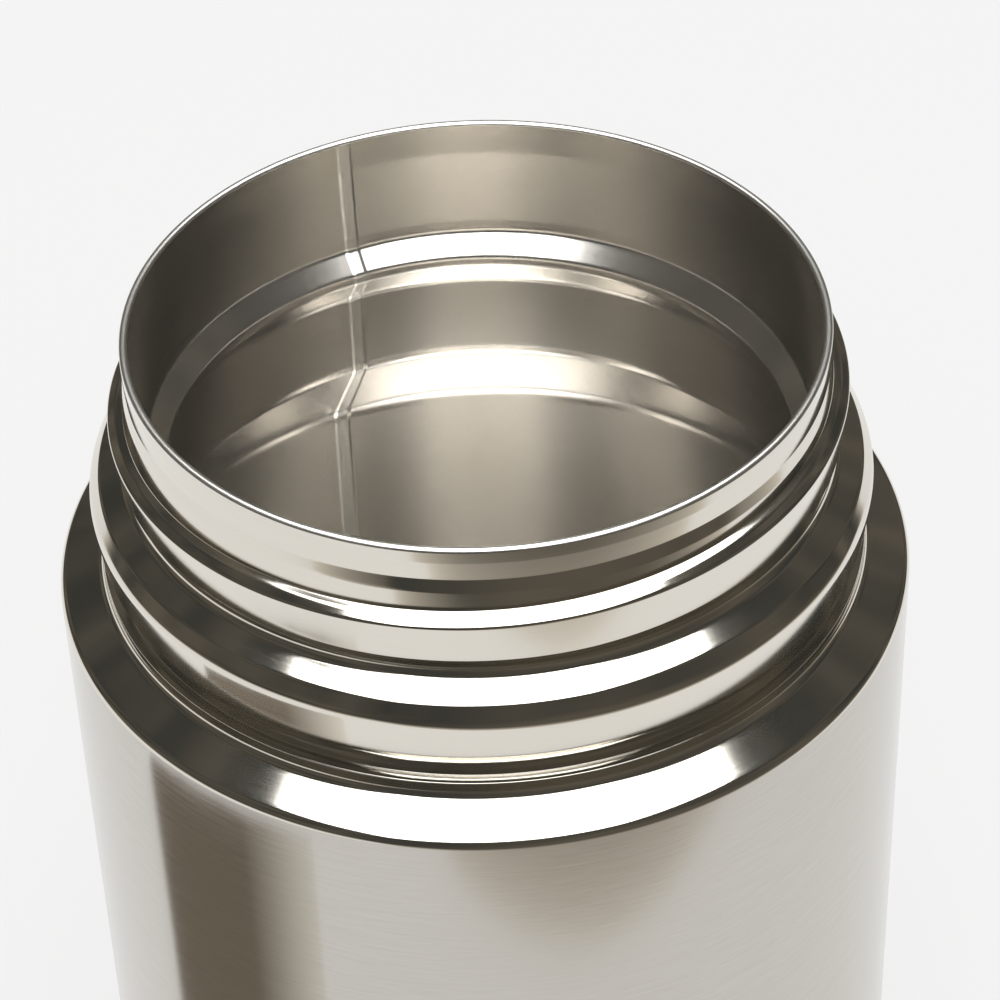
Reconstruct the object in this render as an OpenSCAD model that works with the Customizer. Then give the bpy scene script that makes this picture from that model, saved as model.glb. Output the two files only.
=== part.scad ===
// Wide-mouth insulated food jar: double-walled steel jar with its screw lid standing behind it.
// Millimetres. The origin is the centre of the jar's foot on the table, +Z up, -Y is the front.
// Depths are measured down from the rim, heights up from the table.

/* [Jar body] */
// Height of the rim above the table
jar_h = 126; // [120:1:150]
// Outside diameter of the body
body_d = 103.6; // [102.6:0.2:110]
// Sheet thickness of the outer shell
shell_t = 0.6; // [0.4:0.05:0.7]
// Depth of the shoulder below the rim
shoulder_depth = 32; // [31.2:0.1:34]
// Fall of the shoulder from its inner edge to the body
shoulder_fall = 2.2; // [1.6:0.1:2.6]
// Rounding where the shoulder turns down into the body
shoulder_round = 1.2; // [0.8:0.1:2]

/* [Neck] */
// Step in from the body to the welded band at the lip
neck_inset = 10.4; // [10:0.1:11]
// Height of the welded band at the lip
collar_h = 4.4; // [3:0.1:5]
// Height of the weld bead that closes the lip
lip_h = 0.4; // [0.3:0.05:0.6]
// Step out from the welded band to the neck wall
neck_step = 0.2; // [0.1:0.05:0.3]
// Widening of the neck wall from there down to the stop band
neck_flare = 0.65; // [0.3:0.05:0.8]
// How far the rolled stop band stands out from the lip's band
band_out = 5.6; // [5.2:0.1:6]
// Depth of the upper edge of the stop band
band_depth = 18.7; // [18.4:0.1:19.2]
// Height of the stop band
band_h = 7.2; // [6.8:0.1:7.6]
// Fall of the stop band's top from the neck outwards
band_fall = 1.4; // [1:0.1:1.6]
// Width of the slope between the band's top and its face
band_edge_w = 1.4; // [1:0.1:1.8]
// Height of that slope
band_edge_h = 1.7; // [1.4:0.1:2]
// How far the stop band draws in towards its lower edge
band_lean = 0.9; // [0.6:0.1:1.1]
// Share of the stretch between band and shoulder that the slope under the band takes
band_slope = 0.27; // [0.22:0.01:0.28]
// How far the waist under the stop band stands out from the lip's band
waist_out = 3.6; // [3.2:0.1:4]
// Share of the stretch between band and shoulder that the waist takes
waist_share = 0.36; // [0.32:0.01:0.38]
// Step out from the waist to the foot of the neck
waist_step = 1.2; // [0.8:0.1:1.4]
// Share of the stretch between band and shoulder that this step takes
step_share = 0.22; // [0.18:0.01:0.24]

/* [Thread] */
// Rise of the rolled thread in one turn
thread_pitch = 5; // [4:0.5:6]
// Depth of the thread's crest at the front
thread_depth = 9.6; // [9.4:0.1:10.1]
// How far the thread stands out from the neck wall
thread_out = 1.9; // [1.5:0.1:2.1]
// Angle that the thread goes round the neck
thread_turn = 344; // [300:4:348]
// Angle over which each end of the thread runs out
thread_fade = 35; // [25:5:45]

/* [Inner vessel] */
// Gap between shell and vessel, the vacuum space
vacuum_gap = 2.6; // [2:0.1:5]
// Sheet thickness of the vessel
vessel_t = 0.4; // [0.3:0.05:0.5]
// How far the vessel's throat draws in under the lip
throat_step = 0.6; // [0.4:0.1:0.8]
// Height over which the throat draws in
throat_step_h = 10; // [8:0.5:10.5]
// Depth of the stiffening ring's crest
ring_depth = 19; // [18.6:0.1:20]
// How far the stiffening ring stands into the throat
ring_in = 2.6; // [1.6:0.1:3]
// Width of the ring's crest
ring_crest = 1.3; // [1.1:0.1:1.8]
// Height of the ring's upper flank
ring_upper = 2.3; // [2:0.1:2.6]
// Height of the ring's lower flank
ring_lower = 3.8; // [3.2:0.1:4.4]
// Depth at which the throat starts to flare
flare_depth = 35.5; // [33:0.5:38]
// Height of the flare
flare_h = 13; // [11:0.5:15]
// Height of the vessel's floor above the table
floor_h = 13.5; // [12:0.5:18]
// Inside rounding of the vessel bottom
floor_round = 9; // [6:0.5:9.5]
// Height of the weld between vessel wall and vessel bottom, above the bottom's rounding
joint_rise = 2.5; // [1.5:0.5:6]
// Width of that weld
joint_w = 1; // [0.6:0.1:1.4]
// Width of the lengthwise weld seam
seam_w = 2.1; // [1.5:0.1:3]
// Direction of the seam, counted from the front towards +X
seam_angle = 203; // [200:1:206]

/* [Vacuum space and base] */
// Height of the shell's lower edge above the table
shell_foot = 1.6; // [1.2:0.1:2]
// Sheet thickness of the end plate
plate_t = 0.6; // [0.4:0.05:0.7]
// Height of the end plate's underside
plate_h = 2.8; // [2.6:0.1:3.4]
// Radius of the dimple for the vacuum seal
dimple_r = 8; // [7:0.5:10]
// Rise of the dimple
dimple_h = 1.8; // [1.4:0.1:2]
// Width of the dimple's slope
dimple_slope = 1.5; // [1.2:0.1:2]
// Height of the weld bead between end plate and shell
foot_weld_h = 0.4; // [0.3:0.05:0.6]
// Radius of the evacuation hole
evac_r = 1.5; // [1:0.1:2]
// Radius of the seal bead
seal_r = 4; // [3:0.5:5]
// Depth of the seal bead under the evacuation hole
seal_h = 1; // [0.8:0.1:1.2]
// Sheet thickness of the base cover
cover_t = 0.8; // [0.6:0.1:0.9]
// How far the cover's rim reaches up inside the shell's edge
cover_rim = 0.6; // [0.3:0.1:0.8]
// Outside radius of the adhesive ring
adhesive_r = 41; // [38:0.5:44]
// Width of the adhesive ring
adhesive_w = 8; // [5:0.5:12]
// Thickness of the radiation foil
foil_t = 0.15; // [0.1:0.01:0.2]
// Height of the wrapped foil
foil_h = 48; // [35:1:50]
// Radius of the foil disc under the vessel
foil_disc_r = 36; // [30:1:38]
// Radius of the getter pill
getter_r = 5; // [4:0.5:6]
// Thickness of the getter pill
getter_t = 1.8; // [1.2:0.1:2.5]
// Distance of the getter from the axis
getter_place = 24; // [20:1:30]
// Thickness of the getter clip
clip_t = 0.4; // [0.3:0.05:0.6]
// Width of the getter clip
clip_w = 4; // [3:0.5:6]
// Length of each foot of the getter clip
clip_foot = 4; // [3:0.5:5]

/* [Lid] */
// Height of the lid
lid_h = 47; // [43:0.5:55]
// Thickness of the lid's steel cap
cap_t = 0.6; // [0.4:0.05:0.7]
// Rounding of the lid's top edge
cap_round = 5; // [3:0.5:6]
// Height of the liner's foot flange, below the cap's edge
flange_h = 1.5; // [1:0.1:2]
// Gap between the screwed-down lid and the shoulder
skirt_gap = 0.7; // [0.5:0.1:1]
// Depth of the plug that reaches into the mouth
plug_depth = 11; // [8:0.5:12]
// Wall thickness of the liner's plug
plug_wall = 2.2; // [1.6:0.1:3]
// Thickness of the liner's deck and plug floor
deck_t = 1.4; // [1.2:0.1:2]
// Thickness of the steel cup over the plug
plug_cup_t = 0.4; // [0.3:0.05:0.5]
// Rounding of the steel cup's bottom edge
cup_round = 0.8; // [0.6:0.1:1.2]
// Thickness of the sealing ring
gasket_t = 2; // [1.6:0.1:2.4]
// Angle that the lid's thread goes round
lid_thread_turn = 170; // [120:5:200]
// Width of the lid's thread at its foot
lid_thread_w = 2.2; // [1.8:0.1:2.6]
// Distance from the jar to the lid standing behind it
lid_stand_off = 4.4; // [3:0.2:8]

/* [Clearances] */
// Between the plug's steel cup and the throat
plug_gap = 0.6; // [0.4:0.1:0.8]
// Between lid and neck over the thread and the stop band
screw_gap = 0.8; // [0.6:0.1:1]
// Between the wrapped foil and the vessel
foil_gap = 0.05; // [0.03:0.01:0.1]
// Between the base cover and the end plate's flange
cover_gap = 0.1; // [0.05:0.05:0.2]
// Between the getter and the legs of its clip
clip_gap = 0.4; // [0.2:0.1:0.6]
// Between the sealing ring and the wall that carries the lid's thread
gasket_gap = 0.2; // [0.1:0.05:0.3]

/* [Hidden] */
$fn = 96;

steel = [0.78, 0.77, 0.74];
brushed = [0.72, 0.70, 0.66];
satin = [0.66, 0.64, 0.59];
weld = [0.60, 0.58, 0.54];
copper = [0.80, 0.52, 0.36];

body_r = body_d / 2;
collar_r = body_r - neck_inset;
neck_r = collar_r + neck_step;
band_r = collar_r + band_out;
waist_r = collar_r + waist_out;
mouth_r = collar_r - shell_t - vessel_t;
throat_r = mouth_r - throat_step;
vessel_r = body_r - shell_t - vacuum_gap - vessel_t;
joint_h = floor_h + floor_round + joint_rise;
flange_r = body_r - shell_t;

function unit(v) = v / norm(v);

// Points of an arc that rounds the corner at b of the path a-b-c to radius r.
function corner(a, b, c, r, steps) =
    let (u = unit(a - b), w = unit(c - b),
         half = acos(max(-1, min(1, u * w))) / 2,
         mid = b + unit(u + w) * r / sin(half),
         from = b + u * r / tan(half) - mid,
         to = b + w * r / tan(half) - mid,
         turn = 180 - 2 * half,
         side = sign(from[0] * to[1] - from[1] * to[0]))
    [for (i = [0:steps]) let (t = side * turn * i / steps)
        mid + [from[0] * cos(t) - from[1] * sin(t), from[0] * sin(t) + from[1] * cos(t)]];

// A path of [radius, height, rounding] rows becomes a list of points with its corners rounded.
function rounded(rows, steps = 5) =
    let (p = [for (q = rows) [q[0], q[1]]], last = len(rows) - 1)
    [for (i = [0:last]) each (i == 0 || i == last || rows[i][2] == 0
        ? [p[i]] : corner(p[i - 1], p[i], p[i + 1], rows[i][2], steps))];

// Direction to the left of the path at each point, stretched so that the wall keeps its thickness.
function left_of(p, i) =
    let (last = len(p) - 1,
         u = unit(p[min(i + 1, last)] - p[min(i, last - 1)]),
         w = unit(p[max(i, 1)] - p[max(i - 1, 0)]),
         n = unit([-u[1] - w[1], u[0] + w[0]]))
    n / (n * [-u[1], u[0]]);

// A sheet of thickness t on the left of the path.
function sheet(p, t) = concat(p, [for (i = [len(p) - 1:-1:0]) p[i] + left_of(p, i) * t]);

module lathe(p) {
    rotate_extrude() polygon(p);
}

module at_rim() {
    translate([0, 0, jar_h]) children();
}

// A ridge swept round a wall: outwards if side is 1, inwards if it is -1. The wall's radius is wall_r at
// height 0 and grows by lean for each millimetre down.
// The section lists [height around the crest, share of the full height of the ridge].
// The crest passes z at the front and rises by the pitch in a turn. The ridge runs out into the wall
// at both ends, and its lower side stays above foot.
module ridge(wall_r, lean, side, section, out, z, foot, from_a, to_a, steps) {
    sink = 0.15;
    rows = len(section) + 2;
    last = len(section) - 1;
    end = steps * rows;
    function run_out(a) = min(1, (a - from_a) / thread_fade, (to_a - a) / thread_fade);
    rings = [for (k = [0:steps]) let (
        a = from_a + (to_a - from_a) * k / steps,
        lift = z + thread_pitch * a / 360,
        low = min(1, (foot - lift) / section[last][0]),
        up = [for (q = section) [side * ((out + sink) * q[1] * run_out(a) - sink),
                                 lift + (q[0] < 0 ? q[0] * low : q[0])]],
        ring = concat([[-side * 2 * sink, up[0][1]]], up, [[-side * 2 * sink, up[last][1]]]))
        [for (q = ring) let (r = wall_r - lean * q[1] + q[0]) [r * sin(a), -r * cos(a), q[1]]]];
    points = [for (ring = rings) each ring];
    sides = [for (k = [0:steps - 1]) for (i = [0:rows - 1])
        let (p = k * rows + i, q = k * rows + (i + 1) % rows)
        each [[p, q + rows, q], [p, p + rows, q + rows]]];
    caps = [for (i = [1:rows - 2]) each [[0, i, i + 1], [end, end + i + 1, end + i]]];
    faces = concat(sides, caps);
    polyhedron(points, side > 0 ? faces : [for (f = faces) [f[0], f[2], f[1]]], convexity = 6);
}

// ---- jar ----

// Outside outline of the shell, from its foot up to the lip. Heights are counted from the rim.
band_foot = -band_depth - band_h;
under_band = shoulder_depth - band_depth - band_h;
waist_foot = band_foot - (band_slope + waist_share) * under_band;
neck_top = -collar_h - 2 * neck_step;
shell_path = rounded([
    [body_r, shell_foot - jar_h, 0],
    [body_r, -shoulder_depth - shoulder_fall, shoulder_round],
    [waist_r + waist_step, -shoulder_depth, 0.16 * under_band],
    [waist_r + waist_step, waist_foot - step_share * under_band, 0.2],
    [waist_r, waist_foot, 0.2],
    [waist_r, band_foot - band_slope * under_band, 1.2],
    [band_r - band_lean, band_foot, 0.2],
    [band_r - band_lean / 4, band_foot + 0.4 * band_h, 8],
    [band_r, -band_depth - band_edge_h, 2],
    [band_r - band_edge_w, -band_depth, 0.8],
    [neck_r + neck_flare, -band_depth + band_fall, 1.3],
    [neck_r, neck_top, 0.3],
    [collar_r, -collar_h, 0.3],
    [collar_r, -lip_h, 0]]);

// The jar's thread has a short flank above its crest and a long one below it.
thread_section = [[1.1, 0], [0.75, 0.34], [0.45, 0.72], [0.15, 0.96], [-0.15, 1], [-2.3, 0.76],
                  [-4.5, 0.53], [-5.6, 0.2], [-6.4, 0]];
thread_foot = 0.7 + band_fall - band_depth;
neck_lean = neck_flare / (neck_top + band_depth - band_fall);

module outer_shell() {
    color(steel) at_rim() {
        lathe(sheet(shell_path, shell_t));
        ridge(neck_r + neck_lean * neck_top, neck_lean, 1, thread_section, thread_out, -thread_depth,
              thread_foot, -thread_turn / 2, thread_turn / 2, 72);
    }
}

module lip_weld() {
    color(weld) at_rim() lathe(rounded([
        [mouth_r, -lip_h, 0],
        [collar_r, -lip_h, 0],
        [collar_r, 0, lip_h * 0.9],
        [mouth_r, 0, lip_h * 0.9],
        [mouth_r, -lip_h, 0]]));
}

// Inside outline of the vessel wall, from the lip down to the joint, counted from the rim.
ring_top = -ring_depth + ring_crest / 2;
ring_foot = ring_top - ring_crest;
vessel_path = rounded([
    [mouth_r, -lip_h, 0],
    [mouth_r, -collar_h, 1],
    [throat_r, -collar_h - throat_step_h, 1],
    [throat_r, ring_top + ring_upper, 1.4],
    [throat_r - ring_in, ring_top, 1.1],
    [throat_r - ring_in, ring_foot, 1.5],
    [throat_r, ring_foot - ring_lower, 2.5],
    [throat_r, -flare_depth, 4],
    [vessel_r, -flare_depth - flare_h, 6],
    [vessel_r, joint_h + joint_w / 2 - jar_h, 0]]);

seam_turn = seam_w / throat_r * 180 / PI;

// The vessel wall is rolled from one sheet, whose edges meet at the seam.
module inner_wall() {
    color(satin) at_rim() rotate(seam_angle - 90 + seam_turn / 2)
        rotate_extrude(angle = 360 - seam_turn) polygon(sheet(vessel_path, vessel_t));
}

module wall_seam_weld() {
    color(weld) at_rim() rotate(seam_angle - 90 - seam_turn / 2)
        rotate_extrude(angle = seam_turn) polygon(sheet(vessel_path, vessel_t));
}

module inner_bottom() {
    color(satin) lathe(sheet(rounded([
        [vessel_r, joint_h - joint_w / 2, 0],
        [vessel_r, floor_h, floor_round],
        [0, floor_h, 0]], 8), vessel_t));
}

module bottom_weld() {
    color(weld) translate([0, 0, joint_h - joint_w / 2]) lathe([
        [vessel_r, 0], [vessel_r + vessel_t, 0], [vessel_r + vessel_t, joint_w], [vessel_r, joint_w]]);
}

module foil_wrap() {
    inside_r = vessel_r + vessel_t + foil_gap;
    color(copper) translate([0, 0, joint_h + joint_w]) difference() {
        cylinder(h = foil_h, r = inside_r + foil_t);
        translate([0, 0, -1]) cylinder(h = foil_h + 2, r = inside_r);
    }
}

module foil_disc() {
    color(copper) translate([0, 0, floor_h - vessel_t - foil_t])
        cylinder(h = foil_t, r = foil_disc_r);
}

// ---- base ----

module end_plate() {
    color(satin) lathe(sheet(rounded([
        [evac_r, plate_h + dimple_h, 0],
        [dimple_r - dimple_slope, plate_h + dimple_h, 1],
        [dimple_r, plate_h, 1],
        [flange_r - plate_t, plate_h, 0.5],
        [flange_r - plate_t, shell_foot, 0]], 4), plate_t));
}

module end_plate_weld() {
    color(weld) lathe([
        [flange_r - plate_t, shell_foot],
        [flange_r - plate_t + foot_weld_h / 2, shell_foot - foot_weld_h],
        [body_r - foot_weld_h / 2, shell_foot - foot_weld_h],
        [body_r, shell_foot]]);
}

module seal_bead() {
    color([0.35, 0.33, 0.30]) translate([0, 0, plate_h + dimple_h])
        lathe([[0, 0], [0, -seal_h], [seal_r - 0.6, -seal_h * 0.8], [seal_r, 0]]);
}

module getter() {
    color([0.45, 0.45, 0.47]) translate([getter_place, 0, plate_h + plate_t])
        cylinder(h = getter_t, r = getter_r);
}

// A strap over the getter, with a foot welded to the end plate on each side.
module getter_clip() {
    reach = getter_r + clip_gap;
    end = reach + clip_foot;
    top = getter_t + clip_t;
    color(satin) translate([getter_place, clip_w / 2, plate_h + plate_t]) rotate([90, 0, 0])
        linear_extrude(clip_w) polygon([
            [-end, 0], [-reach, 0], [-reach, getter_t], [reach, getter_t], [reach, 0], [end, 0],
            [end, clip_t], [reach + clip_t, clip_t], [reach + clip_t, top],
            [-reach - clip_t, top], [-reach - clip_t, clip_t], [-end, clip_t]]);
}

module cover_adhesive() {
    color([0.85, 0.84, 0.80]) translate([0, 0, cover_t]) difference() {
        cylinder(h = plate_h - cover_t, r = adhesive_r);
        translate([0, 0, -1]) cylinder(h = plate_h, r = adhesive_r - adhesive_w);
    }
}

module base_cover() {
    rim_r = flange_r - plate_t - cover_gap;
    top = shell_foot + cover_rim;
    color(brushed) lathe(rounded([
        [0, 0, 0],
        [rim_r, 0, 0.7],
        [rim_r, top, 0],
        [rim_r - cover_t, top, 0],
        [rim_r - cover_t, cover_t, 0],
        [0, cover_t, 0]], 4));
}

// ---- lid ----

lid_y = 2 * body_r + lid_stand_off;
rim_z = shoulder_depth - skirt_gap;
seat_z = rim_z + gasket_t;
deck_z = seat_z + deck_t;
plug_z = rim_z - plug_depth;
cup_r = throat_r - plug_gap;
plug_r = cup_r - plug_cup_t;
plug_in_r = plug_r - plug_wall;
skirt_r = band_r + screw_gap;
thread_wall_r = neck_r + neck_flare / 2 + thread_out + screw_gap;
step_z = rim_z - band_depth + screw_gap;
cap_in_r = body_r - cap_t;

module at_lid() {
    translate([0, lid_y, 0]) children();
}

module lid_cap() {
    color(brushed) at_lid() lathe(sheet(rounded([
        [body_r, flange_h, 0],
        [body_r, lid_h, cap_round],
        [0, lid_h, 0]], 8), cap_t));
}

// The lid's thread is an inward ridge that bears on the underside of the jar's thread.
lid_thread_section = [for (q = [[0.5, 0], [0.2, 1], [-0.2, 1], [-0.5, 0]]) [q[0] * lid_thread_w, q[1]]];
lid_thread_from = -20;
lid_thread_foot = step_z + 0.6;
lid_thread_z = lid_thread_foot + lid_thread_w / 2 - thread_pitch * lid_thread_from / 360;

module lid_liner() {
    color([0.30, 0.30, 0.31]) at_lid() {
        lathe(rounded([
            [skirt_r, 0, 0], [body_r, 0, 0.4], [body_r, flange_h, 0], [cap_in_r, flange_h, 0],
            [cap_in_r, deck_z, 0], [plug_in_r, deck_z, 0], [plug_in_r, plug_z + deck_t, 0],
            [0, plug_z + deck_t, 0], [0, plug_z, 0], [plug_r, plug_z, cup_round], [plug_r, seat_z, 0],
            [thread_wall_r, seat_z, 0], [thread_wall_r, step_z, 0.4], [skirt_r, step_z, 0.4],
            [skirt_r, 0, 0]]));
        ridge(thread_wall_r, 0, -1, lid_thread_section, thread_out, lid_thread_z, lid_thread_foot,
              lid_thread_from, lid_thread_from + lid_thread_turn, 40);
    }
}

module lid_foam() {
    top_z = lid_h - cap_t;
    color([0.90, 0.88, 0.80]) at_lid() lathe(rounded([
        [0, plug_z + deck_t, 0], [plug_in_r, plug_z + deck_t, 0], [plug_in_r, deck_z, 0],
        [cap_in_r, deck_z, 0], [cap_in_r, top_z, cap_round], [0, top_z, 0]], 8));
}

module lid_gasket() {
    ring_r = thread_wall_r - gasket_gap;
    color([0.82, 0.82, 0.80]) at_lid() translate([0, 0, rim_z]) lathe(rounded([
        [cup_r, 0, 0],
        [ring_r, 0, 0.6],
        [ring_r, gasket_t, 0],
        [cup_r, gasket_t, 0],
        [cup_r, 0, 0]], 4));
}

module plug_cup() {
    color(steel) at_lid() lathe(sheet(rounded([
        [cup_r, seat_z, 0],
        [cup_r, plug_z - plug_cup_t, cup_round],
        [0, plug_z - plug_cup_t, 0]], 4), -plug_cup_t));
}

outer_shell();
lip_weld();
inner_wall();
wall_seam_weld();
inner_bottom();
bottom_weld();
foil_wrap();
foil_disc();
end_plate();
end_plate_weld();
seal_bead();
getter();
getter_clip();
cover_adhesive();
base_cover();
lid_cap();
lid_liner();
lid_foam();
lid_gasket();
plug_cup();
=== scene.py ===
import math

import bmesh
import bpy
import numpy as np
from mathutils import Matrix, Vector


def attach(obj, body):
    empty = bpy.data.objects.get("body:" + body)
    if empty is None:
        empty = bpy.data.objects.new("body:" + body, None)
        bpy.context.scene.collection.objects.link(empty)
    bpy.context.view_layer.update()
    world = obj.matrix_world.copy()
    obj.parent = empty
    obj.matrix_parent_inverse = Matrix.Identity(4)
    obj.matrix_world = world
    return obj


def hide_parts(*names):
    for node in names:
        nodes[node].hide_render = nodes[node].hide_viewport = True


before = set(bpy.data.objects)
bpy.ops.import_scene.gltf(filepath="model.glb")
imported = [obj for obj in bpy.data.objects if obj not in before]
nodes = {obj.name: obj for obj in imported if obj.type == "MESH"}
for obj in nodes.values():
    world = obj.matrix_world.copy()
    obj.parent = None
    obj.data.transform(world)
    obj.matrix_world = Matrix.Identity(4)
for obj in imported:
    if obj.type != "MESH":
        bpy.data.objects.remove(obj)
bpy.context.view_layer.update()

MM = 0.001


# ---- Camera ----
# The photograph looks down into the open mouth from the front, at about 40 degrees, with a long lens.
# It was placed by the two lip edges, the bands of the neck and the body's edges.
lens = bpy.data.cameras.new("camera")
lens.lens = 123.49
lens.sensor_width = 36.0
lens.clip_start = 0.01
lens.clip_end = 20.0
camera = bpy.data.objects.new("camera", lens)
looking_down = math.radians(40.012)
held_askew = math.radians(-2.043)
camera.matrix_world = (
    Matrix.Translation(Vector((2.11, -318.45, 365.60)) * MM)
    @ Matrix.Rotation(math.pi / 2 - looking_down, 4, "X")
    @ Matrix.Rotation(held_askew, 4, "Z"))
bpy.context.scene.collection.objects.link(camera)
bpy.context.scene.camera = camera
bpy.context.scene.view_settings.view_transform = "Standard"


# ---- Table, backdrop and light ----
# A pale table that runs into a pale room, drawn as flat sheets. One broad soft light hangs over the jar.
# Glowing sheets round the table and over it, and one low card, are seen only in reflections: they paint the
# polished steel's dark lines, and low down a pale reflection of the lit table.
PALE = (0.913, 0.913, 0.913, 1.0)


def seen_directly(tree):
    """1 for camera, glossy and transmission rays, 0 for rays that carry soft light."""
    path = tree.nodes.new("ShaderNodeLightPath")
    either = tree.nodes.new("ShaderNodeMath")
    either.operation = "MAXIMUM"
    any_of = tree.nodes.new("ShaderNodeMath")
    any_of.operation = "MAXIMUM"
    tree.links.new(path.outputs["Is Camera Ray"], either.inputs[0])
    tree.links.new(path.outputs["Is Glossy Ray"], either.inputs[1])
    tree.links.new(either.outputs[0], any_of.inputs[0])
    tree.links.new(path.outputs["Is Transmission Ray"], any_of.inputs[1])
    return any_of.outputs[0]


room = bpy.data.worlds.new("pale_room")
bpy.context.scene.world = room
room.use_nodes = True
tree = room.node_tree
tree.nodes.clear()
room_seen = tree.nodes.new("ShaderNodeBackground")
room_seen.inputs["Color"].default_value = PALE
room_light = tree.nodes.new("ShaderNodeBackground")
room_light.inputs["Color"].default_value = (1.0, 0.99, 0.97, 1.0)
room_light.inputs["Strength"].default_value = 0.62
room_mix = tree.nodes.new("ShaderNodeMixShader")
room_out = tree.nodes.new("ShaderNodeOutputWorld")
tree.links.new(seen_directly(tree), room_mix.inputs["Fac"])
tree.links.new(room_light.outputs[0], room_mix.inputs[1])
tree.links.new(room_seen.outputs[0], room_mix.inputs[2])
tree.links.new(room_mix.outputs[0], room_out.inputs["Surface"])


def flat_card(name, corners):
    """A flat four-cornered sheet through the given corners."""
    mesh = bpy.data.meshes.new(name)
    mesh.from_pydata([tuple(c) for c in corners], [], [(0, 1, 2, 3)])
    card = bpy.data.objects.new(name, mesh)
    bpy.context.scene.collection.objects.link(card)
    return card


TABLE = 3.0
table = flat_card("table", [(-TABLE, -TABLE, 0), (TABLE, -TABLE, 0),
                            (TABLE, TABLE, 0), (-TABLE, TABLE, 0)])


def empty_material(name):
    """A new material without nodes, and its node tree."""
    material = bpy.data.materials.new(name)
    material.use_nodes = True
    material.node_tree.nodes.clear()
    return material, material.node_tree


paper, tree = empty_material("table_paper")
paper_lit = tree.nodes.new("ShaderNodeBsdfDiffuse")
paper_lit.inputs["Color"].default_value = (0.86, 0.86, 0.86, 1.0)
paper_seen = tree.nodes.new("ShaderNodeEmission")
paper_seen.inputs["Color"].default_value = (0.87, 0.87, 0.87, 1.0)
paper_even = tree.nodes.new("ShaderNodeMixShader")
paper_even.inputs["Fac"].default_value = 0.9
paper_mix = tree.nodes.new("ShaderNodeMixShader")
paper_out = tree.nodes.new("ShaderNodeOutputMaterial")
tree.links.new(paper_lit.outputs[0], paper_even.inputs[1])
tree.links.new(paper_seen.outputs[0], paper_even.inputs[2])
tree.links.new(seen_directly(tree), paper_mix.inputs["Fac"])
tree.links.new(paper_lit.outputs[0], paper_mix.inputs[1])
tree.links.new(paper_even.outputs[0], paper_mix.inputs[2])
tree.links.new(paper_mix.outputs[0], paper_out.inputs["Surface"])
table.data.materials.append(paper)


LIGHT_SIZE = (0.71, 1.21)
RADIANCE = 3.6
soft_light = bpy.data.lights.new("soft_box", "AREA")
soft_light.shape = "RECTANGLE"
soft_light.size, soft_light.size_y = LIGHT_SIZE
soft_light.energy = RADIANCE * math.pi * LIGHT_SIZE[0] * LIGHT_SIZE[1]
soft_box = bpy.data.objects.new("soft_box", soft_light)
soft_box.location = (0.02, -0.025, 0.86)
bpy.context.scene.collection.objects.link(soft_box)


def filled(path, spacing):
    """The path with points added on its long sides, so that no two neighbours lie further apart than
    spacing says for the height halfway between them."""
    out = [path[:1]]
    for a, b in zip(path[:-1], path[1:]):
        count = max(1, int(math.ceil(np.linalg.norm(b - a) / spacing((a[1] + b[1]) / 2))))
        out.append(a + (b - a) * np.linspace(0, 1, count + 1)[1:, None])
    return np.concatenate(out)


# Foot of the glowing curtain round the pale table, which paints dark reflections in the steel: [x, y] in
# metres, from behind, round by the left.
CURTAIN_FOOT = np.array([
    [0.0, 1.1], [-0.6, 1.0], [-0.9, 0.6], [-0.70, 0.25], [-0.52, 0.04], [-0.45, -0.10], [-0.25, -0.22],
    [-0.10, -0.20], [-0.06, -0.168], [-0.017, -0.138], [0.04, -0.115], [0.10, -0.093], [0.20, -0.05],
    [0.27, 0.04], [0.60, 0.25], [0.9, 0.6], [0.6, 1.0], [0.0, 1.1]])
CURTAIN_TOP = math.tan(math.radians(46))
NECK_H = 0.11
NECK_R = 0.04
CURTAIN_STEP = 0.03


def curtain(name):
    """A strip that stands on the foot line. Its top lies in one direction above the neck, seen from
    there: neck height plus distance times the tangent of that angle."""
    foot = filled(CURTAIN_FOOT, lambda _: CURTAIN_STEP)
    far = np.linalg.norm(foot, axis=1, keepdims=True) - NECK_R
    low = np.concatenate([foot, 0 * far], 1)
    high = np.concatenate([foot, NECK_H + far * CURTAIN_TOP], 1)
    count = len(foot)
    i = np.arange(count - 1)
    faces = np.stack([i, i + 1, i + 1 + count, i + count], 1)
    mesh = bpy.data.meshes.new(name)
    mesh.from_pydata(np.concatenate([low, high]).tolist(), [], faces.tolist())
    strip = bpy.data.objects.new(name, mesh)
    bpy.context.scene.collection.objects.link(strip)
    return strip


# The curtain and the ceiling sheet glow and are seen only in reflections, where they paint the dark lines
# on the steel.
painted_reflection_curtain = curtain("painted_reflection_curtain")
CEILING = 1.3
CEILING_H = 0.87
painted_reflection_ceiling = flat_card("painted_reflection_ceiling", [(-CEILING, -CEILING, CEILING_H), (-CEILING, CEILING, CEILING_H),
                                          (CEILING, CEILING, CEILING_H), (CEILING, -CEILING, CEILING_H)])

# A low card, seen only in reflections, stands close to the jar on its front left side and paints a dark
# reflected patch on the body.
CARD_FOOT = np.array([
    [-0.0620, -0.0272], [-0.0586, -0.0366], [-0.0533, -0.0461], [-0.0461, -0.0547], [-0.0377, -0.0618]])
CARD_H = 0.0684
CARD_POINTS = len(CARD_FOOT)
standing = np.concatenate([np.insert(CARD_FOOT, 2, 0.0, 1), np.insert(CARD_FOOT, 2, CARD_H, 1)])
card_mesh = bpy.data.meshes.new("patch_reflection_card")
card_mesh.from_pydata(standing.tolist(), [], [
    (k, k + 1, k + 1 + CARD_POINTS, k + CARD_POINTS) for k in range(CARD_POINTS - 1)])
left_card = bpy.data.objects.new("patch_reflection_card", card_mesh)
bpy.context.scene.collection.objects.link(left_card)

# The curtain and ceiling glow dark with a mottled brownish tone, a painted reflection of the dark room;
# towards the floor, below 55 mm, they fade to a pale beige glow, a painted reflection of the lit table in
# front.
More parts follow.
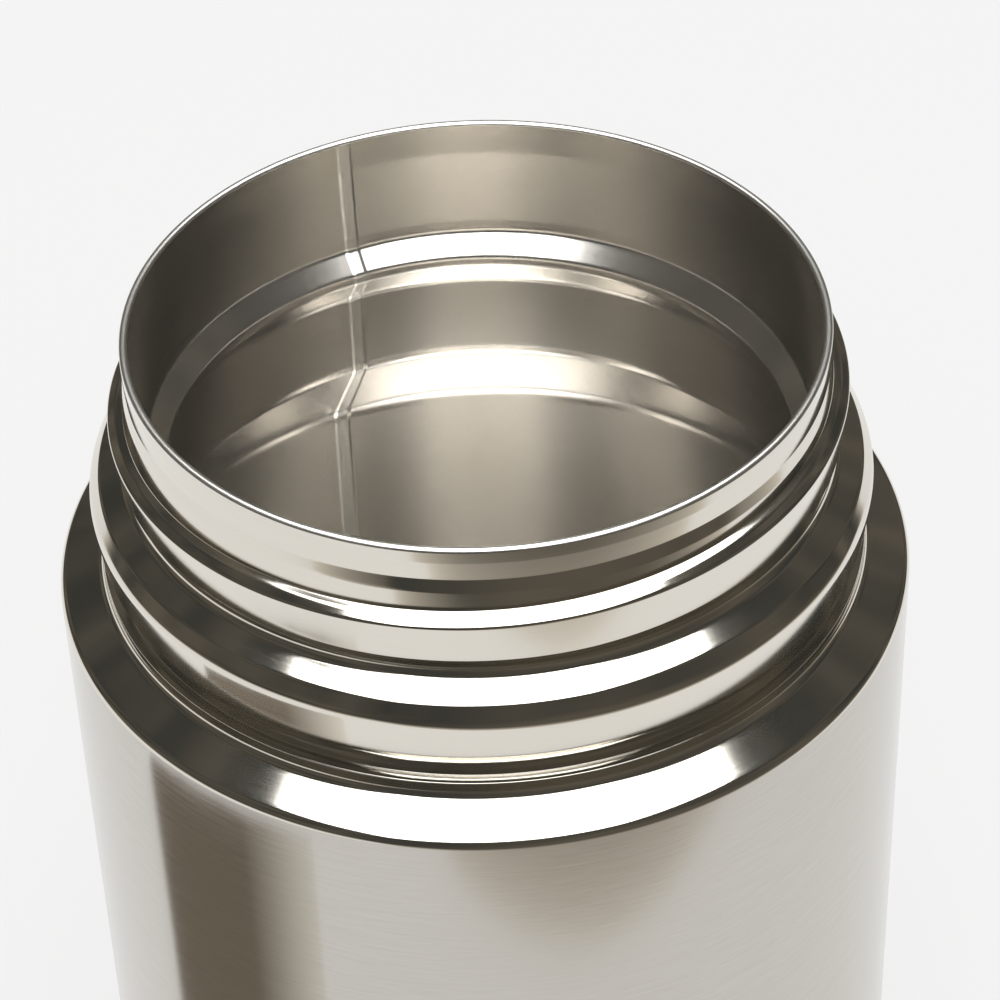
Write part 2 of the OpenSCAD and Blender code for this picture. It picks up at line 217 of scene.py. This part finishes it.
dark_reflection_glow, tree = empty_material("painted_dark_reflection")
reflection_where = tree.nodes.new("ShaderNodeTexCoord")
reflection_mottle = tree.nodes.new("ShaderNodeTexNoise")
reflection_mottle.inputs["Scale"].default_value = 5.0
reflection_mottle.inputs["Detail"].default_value = 3.0
reflection_tone = tree.nodes.new("ShaderNodeValToRGB")
reflection_tone.color_ramp.elements[0].position = 0.38
reflection_tone.color_ramp.elements[0].color = (0.045, 0.046, 0.042, 1.0)
reflection_tone.color_ramp.elements[1].position = 0.75
reflection_tone.color_ramp.elements[1].color = (0.140, 0.122, 0.098, 1.0)
reflection_height = tree.nodes.new("ShaderNodeSeparateXYZ")
pale_table_reflection = tree.nodes.new("ShaderNodeMapRange")
pale_table_reflection.inputs["From Min"].default_value = 0.055
pale_table_reflection.inputs["From Max"].default_value = 0.0
reflection_band_mix = tree.nodes.new("ShaderNodeMix")
reflection_band_mix.data_type = "RGBA"
reflection_band_mix.inputs["B"].default_value = (0.720, 0.670, 0.590, 1.0)
reflection_emission = tree.nodes.new("ShaderNodeEmission")
reflection_out = tree.nodes.new("ShaderNodeOutputMaterial")
tree.links.new(reflection_where.outputs["Object"], reflection_mottle.inputs["Vector"])
tree.links.new(reflection_mottle.outputs[0], reflection_tone.inputs["Fac"])
tree.links.new(reflection_where.outputs["Object"], reflection_height.inputs[0])
tree.links.new(reflection_height.outputs["Z"], pale_table_reflection.inputs["Value"])
tree.links.new(pale_table_reflection.outputs[0], reflection_band_mix.inputs["Factor"])
tree.links.new(reflection_tone.outputs["Color"], reflection_band_mix.inputs["A"])
tree.links.new(reflection_band_mix.outputs["Result"], reflection_emission.inputs["Color"])
tree.links.new(reflection_emission.outputs[0], reflection_out.inputs["Surface"])

# The card glows dark brown on the left and fades to pale on the right, so the reflected patch it paints on
# the body has one soft edge.
black, tree = empty_material("painted_patch_reflection")
black_where = tree.nodes.new("ShaderNodeTexCoord")
black_apart = tree.nodes.new("ShaderNodeSeparateXYZ")
patch_soft_edge = tree.nodes.new("ShaderNodeMapRange")
patch_soft_edge.inputs["From Min"].default_value = -0.050
patch_soft_edge.inputs["From Max"].default_value = -0.038
patch_tone = tree.nodes.new("ShaderNodeMix")
patch_tone.data_type = "RGBA"
patch_tone.inputs["A"].default_value = (0.200, 0.170, 0.135, 1.0)
patch_tone.inputs["B"].default_value = (0.800, 0.780, 0.730, 1.0)
black_glow = tree.nodes.new("ShaderNodeEmission")
black_out = tree.nodes.new("ShaderNodeOutputMaterial")
tree.links.new(black_where.outputs["Object"], black_apart.inputs[0])
tree.links.new(black_apart.outputs["X"], patch_soft_edge.inputs["Value"])
tree.links.new(patch_soft_edge.outputs[0], patch_tone.inputs["Factor"])
tree.links.new(patch_tone.outputs["Result"], black_glow.inputs["Color"])
tree.links.new(black_glow.outputs[0], black_out.inputs["Surface"])
# The glowing curtain, ceiling and card are hidden from the camera, from soft light and from shadows, so
# they show only as painted reflections in the steel.
for dark, reflection_material in ((painted_reflection_curtain, dark_reflection_glow), (painted_reflection_ceiling, dark_reflection_glow), (left_card, black)):
    dark.data.materials.append(reflection_material)
    dark.visible_camera = False
    dark.visible_diffuse = False
    dark.visible_shadow = False


# ---- Outer shell ----
# One drawn and rolled stainless steel tube: a brushed body, a rounded shoulder, a waist, a rolled stop
# band, a rolled right-hand thread and the collar whose edge is welded to the vessel. The neck is
# polished on a lathe, so fine rings run round it.
RIM = 126.0
FOOT = 1.6
SHELL_T = 0.6
LIP_H = 0.4
NEARLY_STRAIGHT = math.radians(89.8)


def rounded(rows, step=2.5):
    """An outline of [radius, height, rounding] corners as an array of points. Each corner becomes an arc
    tangent to both sides, in steps of the given number of degrees, turned about the arc's middle from
    the one tangent point (arm) towards the other (reach). A nearly straight corner stays a point."""
    rows = np.array(rows, float)
    out = [rows[0, :2]]
    for before, here, after in zip(rows[:-2], rows[1:-1], rows[2:]):
        u = (before[:2] - here[:2]) / np.linalg.norm(before[:2] - here[:2])
        w = (after[:2] - here[:2]) / np.linalg.norm(after[:2] - here[:2])
        half = math.acos(np.clip(u @ w, -1, 1)) / 2
        if here[2] == 0 or half > NEARLY_STRAIGHT:
            out.append(here[:2])
            continue
        middle = here[:2] + (u + w) / np.linalg.norm(u + w) * here[2] / math.sin(half)
        arm = here[:2] + u * here[2] / math.tan(half) - middle
        turn = math.pi - 2 * half
        reach = here[:2] + w * here[2] / math.tan(half) - middle
        side = np.sign(arm[0] * reach[1] - arm[1] * reach[0])
        count = max(2, int(math.degrees(turn) / step))
        t = side * turn * np.linspace(0, 1, count + 1)
        across = arm[0] * np.cos(t) - arm[1] * np.sin(t)
        upward = arm[0] * np.sin(t) + arm[1] * np.cos(t)
        out.extend(np.stack([across, upward], 1) + middle)
    out.append(rows[-1, :2])
    return np.array(out)


def surface(name, points, wrap_rows=True, wrap_columns=True, sharp=30):
    """A mesh on a grid of points [row, column, xyz] in millimetres. Each cell is one face; the last row
    or column joins the first where the grid is said to wrap. Rows that shrink to a point become poles.
    Where the columns don't wrap, the rows are a sheet and back, and quads between both sides close
    the two ends."""
    rows, columns = points.shape[:2]
    r = np.arange(rows if wrap_rows else rows - 1)[:, None]
    c = np.arange(columns if wrap_columns else columns - 1)[None, :]
    r2, c2 = (r + 1) % rows, (c + 1) % columns
    faces = np.stack([r * columns + c, r * columns + c2, r2 * columns + c2, r2 * columns + c], -1)
    faces = faces.reshape(-1, 4)
    if not wrap_columns:
        k = np.arange(rows // 2 - 1)
        end = np.stack([k, k + 1, rows - 2 - k, rows - 1 - k], -1) * columns
        faces = np.concatenate([faces, end, end + columns - 1])
    mesh = bpy.data.meshes.new(name)
    mesh.from_pydata((points.reshape(-1, 3) * MM).tolist(), [], faces.tolist())
    work = bmesh.new()
    work.from_mesh(mesh)
    bmesh.ops.remove_doubles(work, verts=work.verts, dist=1e-7)
    bmesh.ops.dissolve_degenerate(work, edges=work.edges, dist=1e-7)
    bmesh.ops.recalc_face_normals(work, faces=work.faces)
    work.to_mesh(mesh)
    work.free()
    mesh.shade_smooth()
    mesh.set_sharp_from_angle(angle=math.radians(sharp))
    piece = bpy.data.objects.new(name, mesh)
    bpy.context.scene.collection.objects.link(piece)
    return piece


def turned(path, columns, centre_y=0.0, lift=0.0, from_a=0.0, to_a=360.0):
    """The path of [radius, height] carried round the axis at centre_y: x = r sin(a), y = -r cos(a)."""
    closed = to_a - from_a == 360
    a = np.radians(np.linspace(from_a, to_a, columns, endpoint=not closed))
    r, z = path[:, :1], path[:, 1:] + lift
    return np.stack([r * np.sin(a), centre_y - r * np.cos(a), z + 0 * a], -1)


def grain_group():
    """Fine rings left by a lathe or by brushing on a turned piece. The noise is stretched along the rings:
    its place is the direction from the axis times a small number, and height plus 2.3 radii times a
    large one, so it runs on over walls, slopes and flat ends."""
    group = bpy.data.node_groups.new("turned_grain", "ShaderNodeTree")
    face = group.interface
    face.new_socket("Vector", in_out="INPUT", socket_type="NodeSocketVector")
    for label, value in (("Rings per mm", 6.0), ("Breaks", 6.0), ("Rough", 0.1), ("Spread", 0.05),
                         ("Cloud", 0.0)):
        socket = face.new_socket(label, in_out="INPUT", socket_type="NodeSocketFloat")
        socket.default_value = value
    for label in ("Roughness", "Height", "Streak"):
        face.new_socket(label, in_out="OUTPUT", socket_type="NodeSocketFloat")
    n, link = group.nodes, group.links
    start, end = n.new("NodeGroupInput"), n.new("NodeGroupOutput")

    def math_node(kind, a, b):
        node = n.new("ShaderNodeMath")
        node.operation = kind
        for socket, value in zip(node.inputs, (a, b)):
            if isinstance(value, (int, float)):
                socket.default_value = value
            else:
                link.new(value, socket)
        return node.outputs[0]

    apart = n.new("ShaderNodeSeparateXYZ")
    link.new(start.outputs["Vector"], apart.inputs[0])
    flat = n.new("ShaderNodeCombineXYZ")
    link.new(apart.outputs["X"], flat.inputs["X"])
    link.new(apart.outputs["Y"], flat.inputs["Y"])
    length = n.new("ShaderNodeVectorMath")
    length.operation = "LENGTH"
    link.new(flat.outputs[0], length.inputs[0])
    unit = n.new("ShaderNodeVectorMath")
    unit.operation = "NORMALIZE"
    link.new(flat.outputs[0], unit.inputs[0])
    spread = n.new("ShaderNodeVectorMath")
    spread.operation = "SCALE"
    link.new(unit.outputs[0], spread.inputs[0])
    link.new(start.outputs["Breaks"], spread.inputs["Scale"])
    out = math_node("MULTIPLY", length.outputs["Value"], 2.3)
    ring = math_node("MULTIPLY", math_node("ADD", out, apart.outputs["Z"]), 1000.0)
    ring = math_node("MULTIPLY", ring, start.outputs["Rings per mm"])
    high = n.new("ShaderNodeCombineXYZ")
    link.new(ring, high.inputs["Z"])
    place = n.new("ShaderNodeVectorMath")
    place.operation = "ADD"
    link.new(spread.outputs[0], place.inputs[0])
    link.new(high.outputs[0], place.inputs[1])
    noise = n.new("ShaderNodeTexNoise")
    noise.inputs["Scale"].default_value = 1.0
    noise.inputs["Detail"].default_value = 3.0
    noise.inputs["Roughness"].default_value = 0.65
    link.new(place.outputs[0], noise.inputs["Vector"])
    cloud = n.new("ShaderNodeTexNoise")
    cloud.inputs["Scale"].default_value = 45.0
    cloud.inputs["Detail"].default_value = 2.0
    link.new(start.outputs["Vector"], cloud.inputs["Vector"])
    streak = math_node("SUBTRACT", noise.outputs[0], 0.5)
    rough = math_node("ADD", start.outputs["Rough"], math_node("MULTIPLY", streak, start.outputs["Spread"]))
    patch = math_node("MULTIPLY", math_node("SUBTRACT", cloud.outputs[0], 0.5), start.outputs["Cloud"])
    link.new(math_node("MAXIMUM", math_node("ADD", rough, patch), 0.02), end.inputs["Roughness"])
    link.new(noise.outputs[0], end.inputs["Height"])
    link.new(noise.outputs[0], end.inputs["Streak"])
    return group


TURNED_GRAIN = grain_group()
STEEL = (0.76, 0.725, 0.655)
BRUSHED_STEEL = (0.585, 0.560, 0.515)


def steel(name, color, rings, breaks, rough, spread, depth, lean, cloud=0.0, centre_y=0.0, shade=0.05):
    """Stainless steel with turned grain. rings and breaks set how fine the grain is across and along it,
    rough and spread the gloss and how it varies from ring to ring, depth the bump in micrometres, lean
    how far the gloss is drawn out across the rings, cloud how the gloss drifts over the surface, and
    shade how the colour varies from ring to ring. centre_y is where the piece's axis stands."""
    material = bpy.data.materials.new(name)
    material.use_nodes = True
    tree = material.node_tree
    link = tree.links
    metal = tree.nodes["Principled BSDF"]
    metal.inputs["Metallic"].default_value = 1.0
    metal.inputs["Anisotropic"].default_value = lean
    metal.inputs["Anisotropic Rotation"].default_value = 0.25
    where = tree.nodes.new("ShaderNodeTexCoord")
    moved = tree.nodes.new("ShaderNodeMapping")
    moved.inputs["Location"].default_value = (0.0, -centre_y, 0.0)
    link.new(where.outputs["Object"], moved.inputs["Vector"])
    grain = tree.nodes.new("ShaderNodeGroup")
    grain.node_tree = TURNED_GRAIN
    link.new(moved.outputs[0], grain.inputs["Vector"])
    for label, value in (("Rings per mm", rings), ("Breaks", breaks), ("Rough", rough),
                         ("Spread", spread), ("Cloud", cloud)):
        grain.inputs[label].default_value = value
    link.new(grain.outputs["Roughness"], metal.inputs["Roughness"])
    tint = tree.nodes.new("ShaderNodeMix")
    tint.data_type = "RGBA"
    tint.inputs["A"].default_value = (*[c * (1 - shade) for c in color], 1.0)
    tint.inputs["B"].default_value = (*[min(1.0, c * (1 + shade)) for c in color], 1.0)
    link.new(grain.outputs["Streak"], tint.inputs["Factor"])
    link.new(tint.outputs["Result"], metal.inputs["Base Color"])
    bump = tree.nodes.new("ShaderNodeBump")
    bump.inputs["Strength"].default_value = 1.0
    bump.inputs["Distance"].default_value = depth * 1e-6
    link.new(grain.outputs["Height"], bump.inputs["Height"])
    link.new(bump.outputs[0], metal.inputs["Normal"])
    return material


polished = steel("polished_neck", STEEL, 9.0, 3.0, 0.09, 0.07, 0.5, 0.6)
brushed = steel("brushed_body", BRUSHED_STEEL, 2.6, 9.0, 0.13, 0.10, 2.2, 0.6, cloud=0.04, shade=0.08)

# Height of each corner is counted from the rim.
shell_outline = [
    [51.80, FOOT - RIM, 0],
    [51.80, -34.2, 1.2],
    [46.20, -32.0, 1.2],
    [46.20, -30.1, 0.15],
    [45.00, -29.85, 0.12],
    [45.00, -27.57, 3.2],
    [46.35, -25.9, 0.12],
    [46.95, -20.6, 2.0],
    [45.60, -18.67, 0.8],
    [42.27, -17.3, 1.35],
    [41.60, -5.85, 0.8],
    [41.30, -4.2, 0.06],
    [41.39, -1.8, 2.0],
    [41.40, -LIP_H, 0]]

# The rolled thread: [height around its crest, how far it stands out from the neck, rounding].
thread_section = [
    [1.6, 0.0, 0], [1.41, 0.0, 0.15], [1.12, 0.9, 0.3], [0.52, 1.9, 0.35], [-5.1, 0.95, 0.8],
    [-6.0, 0.38, 0.4], [-6.6, 0.0, 0.4], [-6.8, 0.0, 0]]
PITCH = 5.0
THREAD_DEPTH = 9.6
THREAD_FOOT = -16.0
THREAD_FROM, THREAD_TO = -172.0, 172.0
THREAD_END = -16.6


def fine_near_thread(z):
    """Row spacing in millimetres for a height below the rim."""
    return 0.08 if -11.5 < z < -8 else 0.25 if -19 < z < -0.4 else 0.4 if z > -36 else 30.0


def thread_height(z, a, section, crest, foot, from_a, to_a, fade=40.0):
    """How far a thread stands out at height z and angle a: its section, read at the distance from a crest
    that rises by one pitch in a turn, times a smooth run-out at both ends. Where the section's lower
    side would pass below foot, it is pressed together so that it ends there."""
    read = rounded(section)[::-1]
    here = crest + PITCH * a / 360
    above = z - here
    press = np.minimum(1, (foot - here) / section[-2][0])
    above = np.where(above < 0, above / press, above)
    height = np.interp(above, read[:, 0], read[:, 1], left=0.0, right=0.0)
    s = np.clip(np.minimum(a - from_a, to_a - a) / fade, 0, 1)
    return height * s * s * (3 - 2 * s)


# The rows of the mesh climb with the thread's crest, so that its edge runs along them: all the way near
# the crest, less and less towards THREAD_END below it and towards the band at the lip above it.
CLIMB_HEIGHTS = [THREAD_END, -10.8, -8.2, -4.5]
SHELL_COLUMNS = 288
outer = filled(rounded(shell_outline), fine_near_thread)
angle = np.linspace(-180, 180, SHELL_COLUMNS, endpoint=False)[None, :]
climb = PITCH * angle / 360 * np.clip((180 - np.abs(angle)) / 15, 0, 1)
follow = np.interp(outer[:, 1:], CLIMB_HEIGHTS, [0, 1, 1, 0])
height = outer[:, 1:] + follow * climb
radius = np.where(follow > 0, np.interp(height, outer[:, 1], outer[:, 0]), outer[:, :1])
stand_out = thread_height(height, angle, thread_section, -THREAD_DEPTH, THREAD_FOOT, THREAD_FROM, THREAD_TO)
radius = radius + np.where(height > THREAD_END, stand_out, 0.0)
inside = slice(None, None, -5)
radius = np.concatenate([radius, radius[inside] - SHELL_T])
height = np.concatenate([height, height[inside]]) + RIM
turn = np.radians(angle)
neck = surface("steel_outer_shell", np.stack([radius * np.sin(turn), -radius * np.cos(turn), height], -1))
neck.data.materials.append(polished)
neck.data.materials.append(brushed)
BODY_TOP = (RIM - 34.9) * MM
middle = np.zeros(len(neck.data.polygons) * 3)
neck.data.polygons.foreach_get("center", middle)
neck.data.polygons.foreach_set("material_index", (middle[2::3] < BODY_TOP).astype(np.int32))
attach(neck, "jar")
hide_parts("outer_shell")


# ---- Lip weld ----
# The edges of shell and vessel are welded together and the bead is ground to a narrow bright rim.
MOUTH = 40.4
COLLAR = 41.4
bead = np.radians(np.linspace(0, 180, 21))
lip_r = (COLLAR + MOUTH) / 2 + (COLLAR - MOUTH) / 2 * np.cos(bead)
lip = surface("lip_weld_bead", turned(np.stack([lip_r, LIP_H * (np.sin(bead) - 1)], 1), 288, lift=RIM))
ground = steel("ground_weld", (0.90, 0.88, 0.84), 12.0, 40.0, 0.30, 0.12, 1.0, 0.0, cloud=0.1)
lip.data.materials.append(ground)
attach(lip, "jar")
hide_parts("lip_weld")


# ---- Vessel wall and its seam ----
# The vessel's wall is rolled from one satin sheet and welded along its length. A stiffening ring is
# rolled into the throat, and below it the wall flares out under the shoulder.
VESSEL_T = 0.4
vessel_outline = rounded([
    [MOUTH, -LIP_H, 0],
    [MOUTH, -4.4, 6.0],
    [39.80, -14.4, 1.0],
    [39.80, -16.05, 0.9],
    [37.20, -18.35, 0.9],
    [37.20, -19.65, 1.2],
    [39.80, -23.45, 2.5],
    [39.80, -35.5, 4.0],
    [48.20, -48.5, 6.0],
    [48.20, 25.5 - RIM, 0]])
SEAM_AT = 203.0
SEAM_W = 2.1 / 39.8 * 180 / math.pi


def walled(path, t):
    """The path and, back again, the same path moved to the right by the wall thickness t."""
    ahead = np.gradient(path, axis=0)
    ahead /= np.linalg.norm(ahead, axis=1, keepdims=True)
    return np.concatenate([path, (path + t * np.stack([ahead[:, 1], -ahead[:, 0]], 1))[::-1]])


vessel_inner = filled(vessel_outline, lambda z: 0.4 if z > -50 else 8.0)
vessel_path = walled(vessel_inner[::-1], VESSEL_T)
wall = surface("vessel_wall", turned(vessel_path, 300, lift=RIM, from_a=SEAM_AT + SEAM_W / 2,
                                     to_a=SEAM_AT + 360 - SEAM_W / 2), wrap_columns=False)
VESSEL_STEEL = (0.86, 0.83, 0.78)
satin = steel("satin_vessel", VESSEL_STEEL, 7.0, 4.0, 0.20, 0.10, 1.2, 0.6, cloud=0.04)
wall.data.materials.append(satin)
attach(wall, "jar")
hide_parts("inner_wall")

# The seam stands a little proud of the wall, with a slope along each edge.
SEAM_RISE = 0.06
SEAM_SLOPE = 0.24
across = np.linspace(0, 1, 25)
edge = np.clip(np.minimum(across, 1 - across) / SEAM_SLOPE, 0, 1)
seam_r = vessel_path[:, :1] - SEAM_RISE * edge * edge * (3 - 2 * edge)
seam_a = np.radians(SEAM_AT + SEAM_W * (across - 0.5))
seam_z = vessel_path[:, 1:] + RIM + 0 * seam_a
seam_points = np.stack([seam_r * np.sin(seam_a), -seam_r * np.cos(seam_a), seam_z], -1)
seam = surface("vessel_seam_weld", seam_points, wrap_columns=False, sharp=60)
seam.data.materials.append(
    steel("rolled_weld", (0.98, 0.96, 0.92), 7.0, 4.0, 0.20, 0.08, 1.2, 0.7, cloud=0.04))
seam.data.use_auto_texspace = False
seam.data.texspace_location = (0.0, 0.0, 0.07)
seam.data.texspace_size = (0.05, 0.05, 0.07)
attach(seam, "jar")
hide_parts("wall_seam_weld")


# ---- Vessel bottom and its weld ----
# The bottom is a drawn dish, turned on a lathe inside, and welded to the wall all round.
bottom_path = walled(filled(rounded([
    [0.0, 13.5, 0], [48.2, 13.5, 9.0], [48.2, 24.5, 0]]), lambda z: 2.0), VESSEL_T)
bottom = surface("vessel_bottom", turned(bottom_path, 240))
bottom.data.materials.append(satin)
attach(bottom, "jar")
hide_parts("inner_bottom")

ring_weld_path = rounded([
    [48.2, 24.5, 0], [48.2, 25.5, 0], [48.6, 25.5, 0], [48.6, 24.5, 0]])
ring_weld = surface("bottom_weld_bead", turned(ring_weld_path, 240))
ring_weld.data.materials.append(steel("bottom_weld_steel", STEEL, 6.0, 60.0, 0.3, 0.1, 2.0, 0.2))
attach(ring_weld, "jar")
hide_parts("bottom_weld")


# ---- Copper foil and disc ----
# A sheet of thin copper foil is wrapped round the vessel and a disc lies under its bottom. They throw
# heat back across the vacuum, and handling has left them slightly creased.
def noise(tree, coordinates, scale, detail=3.0, roughness=0.5):
    """A noise texture read at the given coordinates, in features a metre."""
    texture = tree.nodes.new("ShaderNodeTexNoise")
    texture.inputs["Scale"].default_value = scale
    texture.inputs["Detail"].default_value = detail
    texture.inputs["Roughness"].default_value = roughness
    tree.links.new(coordinates, texture.inputs["Vector"])
    return texture.outputs[0]


def varied(name, low, high, scale, rough, depth, metallic=0.0, bump_scale=None, detail=3.0):
    """A material whose colour drifts between low and high and whose gloss drifts by a fifth round rough.
    depth is the height of its surface grain in micrometres."""
    material = bpy.data.materials.new(name)
    material.use_nodes = True
    tree = material.node_tree
    link = tree.links
    body = tree.nodes["Principled BSDF"]
    body.inputs["Metallic"].default_value = metallic
    where = tree.nodes.new("ShaderNodeTexCoord").outputs["Object"]
    drift = noise(tree, where, scale, detail)
    tint = tree.nodes.new("ShaderNodeMix")
    tint.data_type = "RGBA"
    tint.inputs["A"].default_value = (*low, 1.0)
    tint.inputs["B"].default_value = (*high, 1.0)
    link.new(drift, tint.inputs["Factor"])
    link.new(tint.outputs["Result"], body.inputs["Base Color"])
    gloss = tree.nodes.new("ShaderNodeMapRange")
    gloss.inputs["To Min"].default_value = rough * 0.8
    gloss.inputs["To Max"].default_value = rough * 1.2
    link.new(drift, gloss.inputs["Value"])
    link.new(gloss.outputs[0], body.inputs["Roughness"])
    bump = tree.nodes.new("ShaderNodeBump")
    bump.inputs["Distance"].default_value = depth * 1e-6
    link.new(noise(tree, where, bump_scale or scale * 6, 4.0), bump.inputs["Height"])
    link.new(bump.outputs[0], body.inputs["Normal"])
    return material


def dress(name, material):
    """Gives a CAD node that is shown as it is a better material."""
    piece = nodes[name]
    if not piece.material_slots:
        piece.data.materials.append(material)
    for holder in piece.material_slots:
        holder.material = material


copper = varied("copper_foil", (0.78, 0.44, 0.30), (0.90, 0.60, 0.44), 60.0, 0.22, 60.0,
                metallic=1.0, bump_scale=160.0)
dress("foil_wrap", copper)
dress("foil_disc", copper)


# ---- End plate, its seal and the getter ----
# A plain pressed plate closes the vacuum space. Sealing glass was melted into its evacuation hole, and
# a pill of pressed zirconium powder under a steel strap takes up the last gas.
dress("end_plate", steel("pressed_plate", STEEL, 3.0, 2.0, 0.34, 0.10, 1.5, 0.2))
dress("seal_bead", varied("sealing_glass", (0.20, 0.18, 0.15), (0.34, 0.31, 0.27), 400.0, 0.16, 8.0))
dress("getter", varied("pressed_powder", (0.30, 0.30, 0.31), (0.44, 0.44, 0.46), 900.0, 0.75, 30.0))
dress("getter_clip", varied("bright_strap", (0.70, 0.68, 0.63), (0.80, 0.77, 0.71), 120.0, 0.28, 3.0,
                            metallic=1.0))

foot_bead = np.stack([51.2 + 0.6 * np.cos(bead), FOOT - 0.4 * np.sin(bead)], 1)
foot_weld = surface("foot_weld_bead", turned(foot_bead, 240))
foot_weld.data.materials.append(steel("foot_weld_steel", STEEL, 8.0, 60.0, 0.30, 0.12, 2.0, 0.0, cloud=0.1))
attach(foot_weld, "jar")
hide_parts("end_plate_weld")


# ---- Base cover and its adhesive ----
# A flat pressed steel cover hides the seal. It is glued on with a ring of white silicone.
dress("cover_adhesive", varied("white_silicone", (0.80, 0.79, 0.75), (0.88, 0.87, 0.83), 150.0, 0.42, 25.0))
cover_path = filled(rounded([
    [0.0, 0.0, 0], [50.5, 0.0, 0.7], [50.5, 2.2, 0.15], [49.7, 2.2, 0.15], [49.7, 0.8, 0.3],
    [0.0, 0.8, 0]], 8), lambda z: 5.0)
base_cover = surface("base_cover_plate", turned(cover_path, 240))
base_cover.data.materials.append(steel("brushed_cover", STEEL, 7.0, 5.0, 0.28, 0.12, 2.0, 0.6))
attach(base_cover, "jar")
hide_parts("base_cover")


# ---- Lid cap ----
# The lid stands behind the jar on its open side. Its outside is one drawn cap of brushed steel.
LID_Y = 108.0
LID_H = 47.0
cap_path = rounded([[0.0, LID_H, 0], [51.8, LID_H, 5.0], [51.8, 1.5, 0]])
cap_path = walled(filled(cap_path, lambda z: 3.0), 0.6)
lid_cap = surface("lid_steel_cap", turned(cap_path, 288, LID_Y))
lid_cap.data.materials.append(
    steel("brushed_lid", STEEL, 7.0, 5.0, 0.26, 0.12, 2.0, 0.6, cloud=0.04, centre_y=LID_Y * MM))
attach(lid_cap, "lid")
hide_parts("lid_cap")


# ---- Lid liner ----
# A moulded black plastic liner snaps into the cap. Its skirt goes over the neck, a thread runs round
# its inside, and its middle is the floor of the plug.
RIM_Z, SEAT_Z, DECK_Z, PLUG_Z, STEP_Z = 31.3, 33.3, 34.7, 20.3, 13.4
SKIRT_R, THREAD_WALL_R, PLUG_R, PLUG_IN_R = 47.8, 44.625, 38.8, 36.6
lid_thread_section = [
    [1.3, 0.0, 0], [1.1, 0.0, 0.2], [0.44, 1.9, 0.3], [-0.44, 1.9, 0.3], [-1.1, 0.0, 0.2],
    [-1.3, 0.0, 0]]
LID_CREST = STEP_Z + 1.7 + PITCH * 20 / 360
liner_path = filled(rounded([
    [SKIRT_R, 0.0, 0.3], [51.8, 0.0, 0.4], [51.8, 1.5, 0.15], [51.2, 1.5, 0.05], [51.2, DECK_Z, 0.3],
    [PLUG_IN_R, DECK_Z, 0.3], [PLUG_IN_R, PLUG_Z + 1.4, 0.5], [0.0, PLUG_Z + 1.4, 0]], 8), lambda z: 3.0)
liner_back = filled(rounded([
    [0.0, PLUG_Z, 0], [PLUG_R, PLUG_Z, 0.8], [PLUG_R, SEAT_Z, 0], [THREAD_WALL_R, SEAT_Z, 0.3],
    [THREAD_WALL_R, STEP_Z, 0.4], [SKIRT_R, STEP_Z, 0.4], [SKIRT_R, 0.3, 0]], 8),
    lambda z: 0.15 if STEP_Z < z < 22 else 3.0)
liner_path = np.concatenate([liner_path[1:], liner_back])
on_thread = (np.abs(liner_path[:, :1] - THREAD_WALL_R) < 0.01) & (liner_path[:, 1:] > STEP_Z + 0.4)
liner_r = liner_path[:, :1] - on_thread * thread_height(
    liner_path[:, 1:], angle, lid_thread_section, LID_CREST, STEP_Z + 0.6, -20.0, 150.0)
liner = surface("lid_inner_liner", np.stack([liner_r * np.sin(turn), LID_Y - liner_r * np.cos(turn),
                                             liner_path[:, 1:] + 0 * turn], -1))
liner.data.materials.append(
    varied("moulded_liner", (0.028, 0.028, 0.030), (0.040, 0.040, 0.042), 90.0, 0.42, 12.0,
           bump_scale=2500.0))
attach(liner, "lid")
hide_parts("lid_liner")


# ---- Lid foam ----
# Rigid foam fills the space between liner and cap and keeps the heat in.
dress("lid_foam", varied("rigid_foam", (0.82, 0.79, 0.68), (0.92, 0.90, 0.82), 300.0, 0.85, 150.0,
                         bump_scale=1500.0))


# ---- Sealing ring ----
# A grey silicone ring is stretched over the plug and presses on the jar's lip.
ring_path = rounded([
    [39.2, RIM_Z + 1, 0], [39.2, RIM_Z, 0.25], [44.4, RIM_Z, 0.6], [44.4, SEAT_Z, 0.25],
    [39.2, SEAT_Z, 0.25], [39.2, RIM_Z + 1, 0]], 10)
gasket = surface("lid_sealing_ring", turned(ring_path[:-1], 240, LID_Y))
gasket.data.materials.append(
    varied("grey_silicone", (0.58, 0.58, 0.56), (0.68, 0.68, 0.66), 200.0, 0.38, 6.0,
           bump_scale=3000.0))
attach(gasket, "lid")
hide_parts("lid_gasket")


# ---- Plug cup ----
# A thin polished steel cup is pressed over the plug, so that the food meets only steel.
cup_path = rounded([[39.2, SEAT_Z, 0], [39.2, PLUG_Z - 0.4, 0.8], [0.0, PLUG_Z - 0.4, 0]], 8)
cup_path = walled(filled(cup_path, lambda z: 3.0), 0.4)
plug_cup = surface("plug_steel_cup", turned(cup_path, 240, LID_Y))
plug_cup.data.materials.append(
    steel("polished_cup", STEEL, 9.0, 3.0, 0.12, 0.07, 0.5, 0.5, centre_y=LID_Y * MM))
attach(plug_cup, "lid")
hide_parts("plug_cup")
